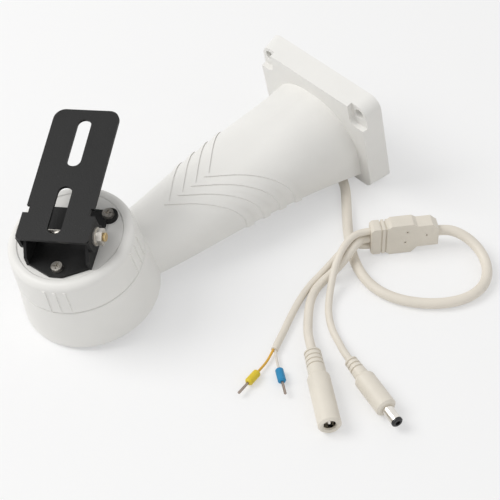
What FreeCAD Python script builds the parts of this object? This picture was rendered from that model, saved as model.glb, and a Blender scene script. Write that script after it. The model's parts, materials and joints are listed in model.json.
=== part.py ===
import FreeCAD, Part
import math
import os
import Sketcher
from FreeCAD import Placement, Rotation, Vector

os.makedirs("parts", exist_ok=True)
doc = FreeCAD.newDocument("pan_tilt_mount")
sheet = doc.addObject("Spreadsheet::Sheet", "sizes")

# Every size in millimetres or degrees, written once.
SIZES = dict(
    wall=2.5, head_base_radius=34.5, head_seam_radius=31.9, head_seam_height=25.7, seam_gap=0.4,
    deck_thickness=3.3, edge_round=0.9,
    cap_rim_radius=30.7, cap_height=44.0, cap_round=3.6, cap_wall=2.5, dish_depth=0.5, rim_band=4.6,
    rib_width=1.3, rib_proud=0.5, rib_pitch=9.3, rib_bottom=26.6, rib_top=41.0,
    plate_front=153.0, plate_depth=12.5, plate_half_width=38.0, plate_draft=1.8, plate_top=21.6,
    plate_drop=36.3, plate_wall=3.0, plate_corner_top=7.0, plate_corner_low=5.0,
    recess_depth=3.0, recess_width=9.4, recess_height=12.8, recess_corner=4.5,
    wall_hole_radius=2.75, wall_hole_y=33.4, wall_hole_z=16.8, post_web=2.5,
    notch_width=6.4, notch_height=6.6, notch_depth=8.0, notch_y=-17.0,
    chevron_first=51.9, chevron_pitch=8.75, chevron_width=3.1, chevron_proud=0.6, chevron_slope=1.1,
    post_radius=4.0, post_height=38.0, shoulder_radius=7.0, shoulder_height=30.7,
    running_fit=0.05, press_fit=0.02, screw_fit=0.03, body_gap=0.3,
    bush_wall=2.0, bush_flange=2.0, bush_flange_thickness=1.2, hub_radius=10.2,
    keeper_radius=6.5, keeper_thickness=0.8, m3_radius=1.5, m3_head_radius=2.7, m3_head_height=2.0,
    m2_radius=1.0, m2_head_radius=1.6, m2_head_height=1.3,
    gear_module=0.8, ring_teeth=60, pinion_teeth=14, gear_bottom=28.0, gear_face=6.0, ring_outer=28.3,
    gear_backlash=0.14, shaft_radius=2.5, ring_screw_radius=26.7,
    cover_thickness=3.0, cover_gap=0.3, cover_post_radius=28.0, cover_post_size=3.2,
    motor_radius=14.0, motor_offset=8.0, motor_length=16.0, motor_top=20.0, ear_y=17.5, ear_size=3.5,
    board_x=6.0, board_length=19.0, board_half_width=15.0, board_bottom=8.0, board_thickness=1.6,
    board_hole_inset=3.0, standoff_radius=2.4,
    switch_x=13.0, switch_depth=5.5, switch_y=2.5, switch_width=10.0, switch_height=8.7,
    seal_inner=28.2, seal_width=2.0, seal_height=1.1,
    sheet_metal=1.5, bracket_angle=-144.5, bracket_tip=24.4, bracket_shoulder=18.0,
    bracket_half_width=16.0, bracket_rear=15.5, tab_x=12.6, tab_y=16.2, tab_radius=4.3, tip_screw=20.0,
    ear_front=18.5, ear_back=3.5, ear_straight=5.5, ear_round=5.2,
    tilt_x=7.4, tilt_z=54.6, tilt_rest=6.2, bolt_radius=2.0, bolt_head_radius=4.0, bolt_head_height=2.6,
    bolt_thread_end=22.8, washer_radius=4.4, washer_thickness=0.8, spring_radius=3.6,
    spring_thickness=1.0, nut_flats=7.0, nut_height=2.2,
    tilt_rise=7.1, tilt_back=8.0, tilt_length=65.2, tilt_half_width=16.6, flange_end=6.4,
    relief_end=10.3, relief_depth=1.6, flange_round=7.0, tilt_corner=5.5,
    slot_half_width=3.5, slot_near=-4.0, slot_near_end=21.6, slot_far=33.0, slot_far_end=59.7,
    main_cable_radius=2.65, data_lead_radius=1.8, jack_lead_radius=2.25, plug_lead_radius=1.8,
    splitter_length=34.6, splitter_thickness=7.6, splitter_height=19.0, splitter_tail=14.0,
    splitter_neck=16.8,
    jack_radius=5.5, jack_length=30.0, jack_relief=15.0, jack_bore=3.2, jack_bore_depth=9.5,
    jack_pin_radius=1.0, jack_sleeve_wall=0.4, relief_radius_jack=4.4,
    plug_radius=5.1, plug_length=22.0, plug_relief=11.0, relief_radius_plug=3.6,
    barrel_radius=2.75, barrel_length=9.3, barrel_bore=1.25, barrel_bore_depth=8.0, tip_ring=1.4,
    wire_radius=0.6, ferrule_radius=2.0, ferrule_length=8.2, ferrule_pin_radius=0.65,
    ferrule_pin_length=7.8,
)
ARM = [
    (22.0, 17.1, 0.8, 20.9, 14.3),
    (48.0, 20.8, -3.8, 17.0, 16.6),
    (86.0, 25.9, -8.4, 13.0, 17.6),
    (124.0, 29.6, -17.8, 11.6, 24.8),
    (153.0, 31.1, -29.5, 12.3, 28.9),
]
for station, row in enumerate(ARM):
    for key, amount in zip(("arm_x", "arm_half", "arm_low", "arm_top", "arm_round"), row):
        SIZES["%s_%s" % (key, "abcde"[station])] = amount
for row_number, (key, amount) in enumerate(SIZES.items(), 1):
    sheet.set("A%d" % row_number, key)
    sheet.set("B%d" % row_number, str(amount))
    sheet.setAlias("B%d" % row_number, key)
doc.recompute()


class Size:
    """A number that remembers the sheet expression it came from."""

    def __init__(self, value, text):
        self.value = value
        self.text = text

    @staticmethod
    def of(item):
        return item if isinstance(item, Size) else Size(float(item), repr(float(item)))

    def __add__(self, other):
        other = Size.of(other)
        return Size(self.value + other.value, "(%s + %s)" % (self.text, other.text))

    def __sub__(self, other):
        other = Size.of(other)
        return Size(self.value - other.value, "(%s - %s)" % (self.text, other.text))

    def __mul__(self, other):
        other = Size.of(other)
        return Size(self.value * other.value, "(%s * %s)" % (self.text, other.text))

    def __truediv__(self, other):
        other = Size.of(other)
        return Size(self.value / other.value, "(%s / %s)" % (self.text, other.text))

    def __radd__(self, other):
        return Size.of(other) + self

    def __rsub__(self, other):
        return Size.of(other) - self

    def __rmul__(self, other):
        return Size.of(other) * self

    def __neg__(self):
        return Size.of(0) - self


class Table:
    """Reads any size of the sheet as a Size."""

    def __getattr__(self, key):
        return Size(float(sheet.get(key)), "sizes." + key)


S = Table()
PLANES = {
    "XY": ("XY_Plane", Rotation()),
    "XZ": ("XZ_Plane", Rotation(Vector(1, 0, 0), 90)),
    "YZ": ("YZ_Plane", Rotation(Vector(1, 1, 1), 120)),
}


def value(item):
    return Size.of(item).value


def bind(item, path, size):
    if isinstance(size, Size):
        item.setExpression(path, size.text)


def fill_sketch(sketch, corners, circles):
    """Draws closed outlines with fixed corners, rounded where a corner has a third number."""
    rules, bound = [], []

    def rule(size, *args):
        rules.append(Sketcher.Constraint(*args, value(size)))
        bound.append((len(rules) - 1, size))

    for loop in corners:
        count = len(loop)
        points = [Vector(value(c[0]), value(c[1]), 0) for c in loop]
        radii = [value(c[2]) if len(c) > 2 else 0.0 for c in loop]
        cuts = []
        for i in range(count):
            before = (points[i - 1] - points[i]).normalize()
            after = (points[(i + 1) % count] - points[i]).normalize()
            half = before.getAngle(after) / 2
            reach = radii[i] / math.tan(half) if radii[i] else 0.0
            cuts.append((points[i] + before * reach, points[i] + after * reach, before, after, half))
        lines = []
        for i in range(count):
            nxt = (i + 1) % count
            lines.append(sketch.addGeometry(Part.LineSegment(cuts[i][1], cuts[nxt][0]), False))
        for i in range(count):
            line_in, line_out = lines[i - 1], lines[i]
            if not radii[i]:
                rules.append(Sketcher.Constraint("Coincident", line_in, 2, line_out, 1))
                rule(loop[i][0], "DistanceX", -1, 1, line_out, 1)
                rule(loop[i][1], "DistanceY", -1, 1, line_out, 1)
                continue
            first, last, before, after, half = cuts[i]
            bisector = (before + after).normalize()
            centre = points[i] + bisector * (radii[i] / math.sin(half))
            middle = centre - bisector * radii[i]
            arc = sketch.addGeometry(Part.Arc(first, middle, last), False)
            curve = sketch.Geometry[arc]
            swapped = (curve.StartPoint - first).Length > (curve.EndPoint - first).Length
            start, end = (2, 1) if swapped else (1, 2)
            corner = sketch.addGeometry(Part.Point(points[i]), True)
            rules.append(Sketcher.Constraint("Tangent", line_in, 2, arc, start))
            rules.append(Sketcher.Constraint("Tangent", arc, end, line_out, 1))
            rules.append(Sketcher.Constraint("PointOnObject", corner, 1, line_in))
            rules.append(Sketcher.Constraint("PointOnObject", corner, 1, line_out))
            rule(loop[i][2], "Radius", arc)
            rule(loop[i][0], "DistanceX", -1, 1, corner, 1)
            rule(loop[i][1], "DistanceY", -1, 1, corner, 1)
    for x, y, radius in circles:
        place = Vector(value(x), value(y), 0)
        circle = sketch.addGeometry(Part.Circle(place, Vector(0, 0, 1), value(radius)), False)
        rule(radius, "Radius", circle)
        rule(x, "DistanceX", -1, 1, circle, 3)
        rule(y, "DistanceY", -1, 1, circle, 3)
    sketch.addConstraint(rules)
    for index, size in bound:
        bind(sketch, "Constraints[%d]" % index, size)


def free_sketch(name, plane, corners=(), circles=(), shift=0.0):
    """A sketch on a plane of the model, moved along the plane's normal."""
    sketch = doc.addObject("Sketcher::SketchObject", name)
    rotation = PLANES[plane][1]
    normal = rotation.multVec(Vector(0, 0, 1))
    sketch.Placement = Placement(normal * value(shift), rotation)
    if isinstance(shift, Size):
        axis = "xyz"[max(range(3), key=lambda k: abs(normal[k]))]
        sign = 1 if max(normal) > 0.5 else -1
        bind(sketch, "Placement.Base." + axis, shift * sign)
    fill_sketch(sketch, corners, circles)
    return sketch


def extrude(name, sketch, forward, backward=0.0):
    solid = doc.addObject("Part::Extrusion", name)
    solid.Base = sketch
    solid.DirMode = "Normal"
    solid.Solid = True
    solid.LengthFwd = value(forward)
    solid.LengthRev = value(backward)
    bind(solid, "LengthFwd", Size.of(forward))
    bind(solid, "LengthRev", Size.of(backward))
    return solid


def spin(name, corners):
    """A solid of revolution about Z from an outline of radius and height."""
    solid = doc.addObject("Part::Revolution", name)
    solid.Source = free_sketch(name + "_outline", "XZ", [corners])
    solid.Axis = Vector(0, 0, 1)
    solid.Base = Vector(0, 0, 0)
    solid.Angle = 360
    solid.Solid = True
    return solid


def loft(name, sections, ruled=False):
    solid = doc.addObject("Part::Loft", name)
    solid.Sections = sections
    solid.Solid = True
    solid.Ruled = ruled
    return solid


def join(name, solids):
    result = doc.addObject("Part::MultiFuse", name)
    result.Shapes = solids
    return result


def common(name, solids):
    result = doc.addObject("Part::MultiCommon", name)
    result.Shapes = solids
    return result


def cut(name, base, tool):
    result = doc.addObject("Part::Cut", name)
    result.Base = base
    result.Tool = tool
    return result


def rod(name, x, y, z, radius, height, direction=None):
    """A cylinder whose base centre, radius and height follow the sheet."""
    solid = doc.addObject("Part::Cylinder", name)
    solid.Placement = Placement(Vector(value(x), value(y), value(z)), direction or Rotation())
    for path, size in (("Radius", radius), ("Height", height), ("Placement.Base.x", x),
                       ("Placement.Base.y", y), ("Placement.Base.z", z)):
        if path in ("Radius", "Height"):
            setattr(solid, path, value(size))
        bind(solid, path, size)
    return solid


def box(name, x, y, z, length, width, height):
    solid = doc.addObject("Part::Box", name)
    solid.Placement.Base = Vector(value(x), value(y), value(z))
    for path, size in (("Length", length), ("Width", width), ("Height", height)):
        setattr(solid, path, value(size))
        bind(solid, path, size)
    for path, size in (("Placement.Base.x", x), ("Placement.Base.y", y), ("Placement.Base.z", z)):
        bind(solid, path, size)
    return solid


class Body:
    """A PartDesign body built from bound sketches."""

    def __init__(self, label):
        self.body = doc.addObject("PartDesign::Body", label)
        self.label = label
        self.count = 0

    def sketch(self, plane, corners=(), circles=(), shift=0.0, turn=0.0):
        self.count += 1
        sketch = self.body.newObject("Sketcher::SketchObject", "%s_outline%d" % (self.label, self.count))
        role = PLANES[plane][0]
        support = [f for f in self.body.Origin.OriginFeatures if f.Role == role][0]
        sketch.AttachmentSupport = (support, [""])
        sketch.MapMode = "FlatFace"
        sketch.AttachmentOffset = Placement(Vector(0, 0, value(shift)), Rotation(Vector(0, 0, 1), value(turn)))
        bind(sketch, "AttachmentOffset.Base.z", shift)
        fill_sketch(sketch, corners, circles)
        return sketch

    def feature(self, kind, sketch, **settings):
        item = self.body.newObject("PartDesign::" + kind, "%s_%s%d" % (self.label, kind.lower(), self.count))
        item.Profile = sketch
        for path, size in settings.items():
            setattr(item, path, value(size) if isinstance(size, Size) else size)
            bind(item, path, size)
        doc.recompute()
        return item

    def volume(self):
        return self.body.Shape.Volume if not self.body.Shape.isNull() else 0.0

    def pad(self, sketch, length, both=False, back=False):
        return self.feature("Pad", sketch, Length=length, SideType="Symmetric" if both else "One side",
                            Reversed=back)

    def pocket(self, sketch, length, both=False, back=False):
        before = self.volume()
        item = self.feature("Pocket", sketch, Length=length, Reversed=back,
                            SideType="Symmetric" if both else "One side")
        if self.volume() >= before - 1e-6:
            item.Reversed = not back
            doc.recompute()
        return item

    def revolve(self, corners, groove=False):
        sketch = self.sketch("XZ", [corners])
        kind = "Groove" if groove else "Revolution"
        return self.feature(kind, sketch, ReferenceAxis=(sketch, ["V_Axis"]), Angle=360.0)

    def around(self, originals, count, angle=360.0):
        item = self.body.newObject("PartDesign::PolarPattern", self.label + "_pattern")
        item.Originals = originals
        axis = [f for f in self.body.Origin.OriginFeatures if f.Role == "Z_Axis"][0]
        item.Axis = (axis, [""])
        item.Angle = angle
        item.Occurrences = count
        self.body.Tip = item
        doc.recompute()
        return item


def rectangle(x0, y0, x1, y1, *radii):
    radii = list(radii) or [None] * 4
    corners = [(x0, y0), (x1, y0), (x1, y1), (x0, y1)]
    return [c if r is None else c + (r,) for c, r in zip(corners, radii)]


NODES = {}


def node(label, item, place):
    """Names a finished sub-part and says which frame it was drawn in."""
    item.Label = label
    NODES[label] = (item, place)
    return item


# ---- the cast housing: head, arm and wall plate in one ----
PLATE_BACK = S.plate_front + S.plate_depth
SEAM = S.head_seam_height
DECK_TOP = SEAM - S.seam_gap
DECK_LOW = DECK_TOP - S.deck_thickness
HEAD_TAPER = (S.head_base_radius - S.head_seam_radius) / SEAM


def head_radius(height):
    return S.head_base_radius - HEAD_TAPER * height


def arm_section(name, station, grow):
    half = getattr(S, "arm_half_" + station) + grow
    low = getattr(S, "arm_low_" + station) - grow
    top = getattr(S, "arm_top_" + station) + grow
    bend = getattr(S, "arm_round_" + station) + grow
    corners = [(-half, low), (half, low), (half, top, bend), (-half, top, bend)]
    return free_sketch(name + station, "YZ", [corners], shift=getattr(S, "arm_x_" + station))


def arm_solid(name, grow):
    return loft(name, [arm_section(name + "_section_", station, grow) for station in "abcde"])


def chevron(index, grown):
    """A raised rib that runs over the arm as a V and down both sides."""
    apex = S.chevron_first + index * S.chevron_pitch
    run = S.plate_half_width
    reach = apex + run * S.chevron_slope
    wide = S.chevron_width
    corners = [(apex, 0.0), (reach, run), (reach + wide, run), (apex + wide, 0.0),
               (reach + wide, -run), (reach, -run)]
    name = "chevron_%d" % index
    prism = extrude(name, free_sketch(name + "_outline", "XY", [corners], shift=-S.plate_drop), 2 * S.plate_drop)
    return common(name + "_rib", [prism, grown])


def build_housing():
    low, top = S.plate_drop, S.plate_top
    wide = S.plate_half_width
    base = head_radius(0.0)
    head = spin("head", [(0.0, 0.0), (base, 0.0, S.edge_round), (head_radius(DECK_TOP), DECK_TOP, S.edge_round),
                         (0.0, DECK_TOP)])
    upper, lower = S.plate_corner_top, S.plate_corner_low
    draft = S.plate_draft
    front = free_sketch("plate_front", "YZ", [rectangle(-wide, -low, wide, top, lower, lower, upper, upper)],
                        shift=S.plate_front)
    back = free_sketch("plate_back", "YZ", [rectangle(-wide - draft, -low - 1.2, wide + draft, top + draft,
                                                      lower, lower, upper, upper)], shift=PLATE_BACK)
    plate = loft("plate", [front, back], ruled=True)
    arm = arm_solid("arm", Size.of(0.0))
    grown = arm_solid("arm_grown", S.chevron_proud)
    ribs = [chevron(i, grown) for i in range(4)]
    outer = join("housing_outer", [head, arm, plate] + ribs)
    wall = S.wall
    hollow = spin("head_hollow", [(0.0, -1.0), (head_radius(-1.0) - wall, -1.0),
                                  (head_radius(DECK_LOW) - wall, DECK_LOW), (0.0, DECK_LOW)])
    duct = arm_solid("arm_duct", -wall)
    inner = S.plate_wall
    face = S.plate_front + inner
    web_y = wide - S.recess_width - S.post_web
    web_z = top - S.recess_height - S.post_web
    cavity = extrude("plate_cavity", free_sketch("plate_cavity_outline", "YZ", [[
        (-wide + inner, -low + inner), (wide - inner, -low + inner), (wide - inner, web_z), (web_y, web_z),
        (web_y, top - inner), (-web_y, top - inner), (-web_y, web_z), (-wide + inner, web_z)]], shift=face),
        S.plate_depth)
    throat = extrude("throat", free_sketch("throat_outline", "YZ", [[
        (-S.arm_half_e + wall, S.arm_low_e + wall), (S.arm_half_e - wall, S.arm_low_e + wall),
        (S.arm_half_e - wall, S.arm_top_e - wall, S.arm_round_e - wall),
        (-S.arm_half_e + wall, S.arm_top_e - wall, S.arm_round_e - wall)]], shift=S.plate_front - 0.5), inner + 1.0)
    tools = [hollow, duct, throat, cavity]
    for side in (1, -1):
        name = "left" if side > 0 else "right"
        edge = wide - S.recess_width
        outside = wide + 5.0
        if side > 0:
            outline = [(edge, top - S.recess_height, S.recess_corner), (outside, top - S.recess_height),
                       (outside, top + 5.0), (edge, top + 5.0)]
        else:
            outline = [(-outside, top - S.recess_height), (-edge, top - S.recess_height, S.recess_corner),
                       (-edge, top + 5.0), (-outside, top + 5.0)]
        tools.append(extrude("recess_" + name, free_sketch("recess_outline_" + name, "YZ", [outline],
                                                           shift=S.plate_front - 1.0), S.recess_depth + 1.0))
        tools.append(rod("wall_hole_" + name, S.plate_front, side * S.wall_hole_y, S.wall_hole_z,
                         S.wall_hole_radius, S.plate_depth + 1.0, Rotation(Vector(0, 1, 0), 90)))
    half = S.notch_width / 2
    tools.append(extrude("cable_notch", free_sketch("cable_notch_outline", "YZ", [[
        (S.notch_y - half, -low - 2.0), (S.notch_y + half, -low - 2.0),
        (S.notch_y + half, -low + S.notch_height, half - 0.2),
        (S.notch_y - half, -low + S.notch_height, half - 0.2)]], shift=S.plate_front - 1.0), S.notch_depth))
    shell = cut("housing_shell", outer, join("housing_hollows", tools))
    inside = [rod("shoulder", 0.0, 0.0, DECK_TOP - 0.5, S.shoulder_radius, S.shoulder_height - DECK_TOP + 0.5),
              rod("post", 0.0, 0.0, DECK_TOP - 0.5, S.post_radius, S.post_height - DECK_TOP + 0.5)]
    motor_x = -PINION_DISTANCE + S.motor_offset
    bored = [rod("post_bore", 0.0, 0.0, S.post_height - 9.0, S.m3_radius + S.screw_fit, 10.0),
             rod("shaft_bore", -PINION_DISTANCE, 0.0, DECK_LOW - 2.0, S.shaft_radius + S.body_gap,
                 S.deck_thickness + 4.0)]
    for side in (1, -1):
        inside.append(rod("motor_boss%d" % side, motor_x, side * S.ear_y, S.motor_top, S.ear_size,
                          DECK_LOW - S.motor_top + 0.5))
        bored.append(rod("motor_thread%d" % side, motor_x, side * S.ear_y, S.motor_top - 1.0,
                         S.m3_radius + S.screw_fit, DECK_LOW - S.motor_top + 1.0 + 2.0))
    for index, (x, y) in enumerate(board_holes()):
        height = S.board_bottom + S.board_thickness
        inside.append(rod("standoff%d" % index, x, y, height, S.standoff_radius, DECK_LOW - height + 0.5))
        bored.append(rod("standoff_thread%d" % index, x, y, height - 1.0, S.m2_radius + S.screw_fit, 7.0))
    for index, (x, y) in enumerate(cover_holes()):
        height = S.cover_thickness
        inside.append(rod("cover_post%d" % index, x, y, height, S.cover_post_size, DECK_LOW - height + 0.5))
        bored.append(rod("cover_thread%d" % index, x, y, height - 1.0, S.m3_radius + S.screw_fit, 10.0))
    groove = cut("seal_groove", rod("groove_outer", 0.0, 0.0, DECK_TOP - S.seal_height + 0.1,
                                    S.seal_inner + S.seal_width + S.press_fit, 3.0),
                 rod("groove_inner", 0.0, 0.0, DECK_TOP - S.seal_height, S.seal_inner - S.press_fit, 4.0))
    whole = join("housing_with_posts", [shell] + inside)
    node("bracket_housing", cut("housing", whole, join("housing_bores", bored + [groove])), "head")


# ---- distances that several pieces share ----
PINION_DISTANCE = S.gear_module * (S.ring_teeth - S.pinion_teeth) / 2


def board_holes():
    x0 = S.board_x + S.board_hole_inset
    x1 = S.board_x + S.board_length - S.board_hole_inset
    y = S.board_half_width - S.board_hole_inset
    return [(x0, y), (x1, y), (x0, -y), (x1, -y)]


def polar(radius, angle):
    return radius * math.cos(math.radians(angle)), radius * math.sin(math.radians(angle))


def cover_holes():
    return [polar(S.cover_post_radius, angle) for angle in (75, 180, 285)]


def ring_holes():
    return [polar(S.ring_screw_radius, angle) for angle in (45, 165, 285)]


def screw(name, x, y, seat, length, radius, head_radius, head_height, up=True):
    """A pan head screw with a cross recess; its head lies below the seat when it points up."""
    body = Body(name)
    sign = 1 if up else -1
    head = body.sketch("XY", circles=[(x, y, head_radius)], shift=seat)
    body.pad(head, head_height, back=up)
    shank = body.sketch("XY", circles=[(x, y, radius)], shift=seat)
    body.pad(shank, length, back=not up)
    outer = seat - head_height * sign
    arm, half = head_radius * 0.62, head_radius * 0.14
    for wide, tall in ((arm, half), (half, arm)):
        cross = body.sketch("XY", [rectangle(x - wide, y - tall, x + wide, y + tall)], shift=outer)
        body.pocket(cross, head_height * 0.55, back=up)
    return body.body


def screw_set(label, place, holes, seat, length, size, up=True):
    radius, head_radius, head_height = size
    pieces = []
    for index, (x, y) in enumerate(holes):
        pieces.append(screw("%s_%d" % (label, index), x, y, seat, length, radius, head_radius, head_height, up))
    group = doc.addObject("Part::Compound", label)
    group.Links = pieces
    node(label, group, place)


def m3():
    return S.m3_radius, S.m3_head_radius, S.m3_head_height


def m2():
    return S.m2_radius, S.m2_head_radius, S.m2_head_height


def build_cover():
    body = Body("bottom_cover")
    radius = head_radius(S.cover_thickness) - S.wall - S.cover_gap
    body.pad(body.sketch("XY", circles=[(0.0, 0.0, radius)]), S.cover_thickness)
    holes = cover_holes()
    body.pocket(body.sketch("XY", circles=[(x, y, S.m3_head_radius + 0.2) for x, y in holes]),
                S.m3_head_height + 0.2, back=True)
    body.pocket(body.sketch("XY", circles=[(x, y, S.m3_radius + S.screw_fit) for x, y in holes]),
                S.cover_thickness, back=True)
    node("bottom_cover", body.body, "head")
    screw_set("bottom_cover_screws", "head", holes, S.m3_head_height + 0.2, 9.0, m3())


def build_motor():
    motor_x = -PINION_DISTANCE + S.motor_offset
    body = Body("pan_motor")
    can = body.sketch("XY", circles=[(motor_x, 0.0, S.motor_radius)], shift=S.motor_top - S.motor_length)
    body.pad(can, S.motor_length)
    ear = S.ear_size
    wing = body.sketch("XY", [rectangle(motor_x - ear, -S.ear_y - ear, motor_x + ear, S.ear_y + ear,
                                        ear - 0.2, ear - 0.2, ear - 0.2, ear - 0.2)], shift=S.motor_top - 1.0)
    body.pad(wing, 1.0)
    collar = body.sketch("XY", circles=[(-PINION_DISTANCE, 0.0, S.shaft_radius + 2.0)], shift=S.motor_top)
    body.pad(collar, DECK_LOW - S.motor_top - 0.3)
    holes = [(motor_x, S.ear_y, S.m3_radius + S.screw_fit), (motor_x, -S.ear_y, S.m3_radius + S.screw_fit)]
    body.pocket(body.sketch("XY", circles=holes, shift=S.motor_top), 2.0)
    bore = body.sketch("XY", circles=[(-PINION_DISTANCE, 0.0, S.shaft_radius + S.running_fit)], shift=DECK_LOW)
    body.pocket(bore, DECK_LOW - S.motor_top + 8.0)
    node("pan_motor", body.body, "head")
    screw_set("pan_motor_screws", "head", [(motor_x, S.ear_y), (motor_x, -S.ear_y)], S.motor_top - 1.0, 4.0, m3())
    shaft = Body("motor_shaft")
    base = S.motor_top - 7.5
    shaft.pad(shaft.sketch("XY", circles=[(-PINION_DISTANCE, 0.0, S.shaft_radius)], shift=base),
              S.gear_bottom + S.gear_face - base)
    node("motor_shaft", shaft.body, "head")


def build_board():
    body = Body("control_board")
    half = S.board_half_width
    outline = rectangle(S.board_x, -half, S.board_x + S.board_length, half, 1.5, 1.5, 1.5, 1.5)
    holes = [(x, y, S.m2_radius + S.screw_fit) for x, y in board_holes()]
    body.pad(body.sketch("XY", [outline], holes, shift=S.board_bottom), S.board_thickness)
    node("control_board", body.body, "head")
    top = S.board_bottom + S.board_thickness
    x = S.board_x + S.board_length / 2
    blocks = [box("relay_a", x - 6.0, 1.0, top, 10.0, 8.0, 7.0), box("relay_b", x - 6.0, -9.0, top, 10.0, 8.0, 7.0),
              box("terminal", x + 5.0, -6.0, top, 4.0, 12.0, 5.5)]
    group = doc.addObject("Part::Compound", "board_parts")
    group.Links = blocks
    node("board_parts", group, "head")
    screw_set("board_screws", "head", board_holes(), S.board_bottom, 6.5, m2())


def build_pan_support():
    bottom = S.shoulder_height + S.body_gap
    top = S.post_height - S.body_gap
    bore = S.post_radius + S.running_fit
    outer = bore + S.bush_wall
    body = Body("pan_bushing")
    body.revolve([(bore, bottom), (outer + S.bush_flange, bottom), (outer + S.bush_flange, bottom + S.bush_flange_thickness),
                  (outer, bottom + S.bush_flange_thickness), (outer, top), (bore, top)])
    node("pan_bushing", body.body, "pan")
    keeper = Body("pan_retainer")
    seat = S.post_height
    head = seat + S.keeper_thickness
    keeper.revolve([(0.0, seat - 8.0), (S.m3_radius, seat - 8.0), (S.m3_radius, seat), (S.keeper_radius, seat),
                    (S.keeper_radius, head), (S.m3_head_radius, head), (S.m3_head_radius, head + S.m3_head_height),
                    (0.0, head + S.m3_head_height)])
    node("pan_retaining_screw", keeper.body, "head")
    seal = Body("seam_seal")
    low = DECK_TOP - S.seal_height + 0.1
    seal.revolve([(S.seal_inner, low), (S.seal_inner + S.seal_width, low),
                  (S.seal_inner + S.seal_width, low + S.seal_height), (S.seal_inner, low + S.seal_height)])
    node("seam_seal", seal.body, "head")
    blocks = []
    for index, y in enumerate((S.switch_y, -S.switch_y - S.switch_width)):
        blocks.append(box("switch_%d" % index, S.switch_x, y, DECK_TOP, S.switch_depth, S.switch_width, S.switch_height))
    group = doc.addObject("Part::Compound", "limit_switches")
    group.Links = blocks
    node("limit_switches", group, "head")


# ---- the turning cap with its ribs ----
CAP_TAPER = (S.head_seam_radius - S.cap_rim_radius) / (S.cap_height - SEAM)


def cap_radius(height):
    return S.head_seam_radius - CAP_TAPER * (height - SEAM)


def bracket_holes():
    return [(S.tip_screw, 0.0), (-S.tab_x, S.tab_y), (-S.tab_x, -S.tab_y)]


def build_cap():
    top = S.cap_height
    dish = top - S.dish_depth
    inside = top - S.dish_depth - S.cap_wall
    wall = S.cap_wall
    band = cap_radius(top) - S.rim_band
    shell = spin("cap_shell", [
        (cap_radius(SEAM) - wall, SEAM), (cap_radius(SEAM), SEAM, 0.5), (cap_radius(top), top, S.cap_round),
        (band, top, 0.4), (band - 0.6, dish), (0.0, dish), (0.0, inside),
        (cap_radius(inside) - wall, inside, 1.0)])
    solids = [shell]
    for group in range(4):
        for step in (-1, 0, 1):
            name = "rib_%d_%d" % (group, step + 1)
            sketch = free_sketch(name + "_outline", "XZ", [[
                (cap_radius(S.rib_bottom) - 1.5, S.rib_bottom), (cap_radius(S.rib_bottom) + S.rib_proud, S.rib_bottom),
                (cap_radius(S.rib_top) + S.rib_proud, S.rib_top - 0.6), (cap_radius(S.rib_top) - 0.2, S.rib_top),
                (cap_radius(S.rib_top) - 1.5, S.rib_top)]])
            rib = extrude(name, sketch, S.rib_width / 2, S.rib_width / 2)
            rib.Placement = Placement(Vector(), Rotation(Vector(0, 0, 1), 90 * group + step * S.rib_pitch.value))
            rib.setExpression("Placement.Rotation.Angle", "%d + %d * sizes.rib_pitch" % (90 * group, step))
            rib.setExpression("Placement.Rotation.Axis.z", "1")
            solids.append(rib)
    floor = S.shoulder_height + S.body_gap + S.bush_flange_thickness
    solids.append(rod("hub", 0.0, 0.0, floor, S.hub_radius, inside - floor + 0.5))
    gear_top = S.gear_bottom + S.gear_face
    for index, (x, y) in enumerate(ring_holes()):
        solids.append(rod("ring_post%d" % index, x, y, gear_top, 2.4, inside - gear_top + 0.5))
    for index, (x, y) in enumerate(bracket_holes()):
        solids.append(rod("bracket_boss%d" % index, x, y, inside - 4.0, 3.0, 4.5))
    solids.append(box("trip_lug", 14.0, -2.0, DECK_TOP + S.switch_height + 0.5, 4.5, 4.0,
                      inside - DECK_TOP - S.switch_height))
    tools = []
    bush_top = S.post_height - S.body_gap
    bush = S.post_radius + S.running_fit + S.bush_wall + S.press_fit
    tools.append(rod("hub_bore", 0.0, 0.0, floor - 1.0, bush, bush_top - floor + 1.0))
    tools.append(rod("hub_access", 0.0, 0.0, bush_top, S.keeper_radius + 0.7, top - bush_top + 1.0))
    for index, (x, y) in enumerate(ring_holes()):
        tools.append(rod("ring_thread%d" % index, x, y, gear_top - 1.0, S.m2_radius + S.screw_fit, 5.0))
    for index, (x, y) in enumerate(bracket_holes()):
        tools.append(rod("bracket_thread%d" % index, x, y, inside - 3.5, S.m3_radius + S.screw_fit, 9.0))
    node("rotating_cap", cut("cap", join("cap_solid", solids), join("cap_bores", tools)), "pan")
    screw_set("u_bracket_screws", "pan", bracket_holes(), dish + S.sheet_metal, 6.0, m3(), up=False)


# ---- the drive: an internal ring gear and a pinion, both with involute flanks ----
def gear_wire(teeth, module, outside, root, backlash, internal):
    """The outline of a gear; an internal gear's outline is that of its tooth spaces."""
    pitch = module * teeth / 2
    base = pitch * math.cos(math.radians(20))
    involute = math.tan(math.radians(20)) - math.radians(20)
    slack = backlash / 2 / pitch
    half = math.pi / 2 / teeth + (slack if internal else -slack) / 2
    low, high = root, outside
    points = []
    steps = 6
    for tooth in range(teeth):
        middle = 2 * math.pi * tooth / teeth
        flank = []
        for step in range(steps + 1):
            radius = low + (high - low) * step / steps
            turn = math.acos(min(1.0, base / max(radius, base)))
            angle = half + involute - (math.tan(turn) - turn)
            flank.append((radius, angle))
        for radius, angle in flank:
            points.append((radius, middle - angle))
        for radius, angle in reversed(flank):
            points.append((radius, middle + angle))
    corners = [Vector(r * math.cos(a), r * math.sin(a), 0) for r, a in points]
    return Part.makePolygon(corners + corners[:1])


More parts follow.
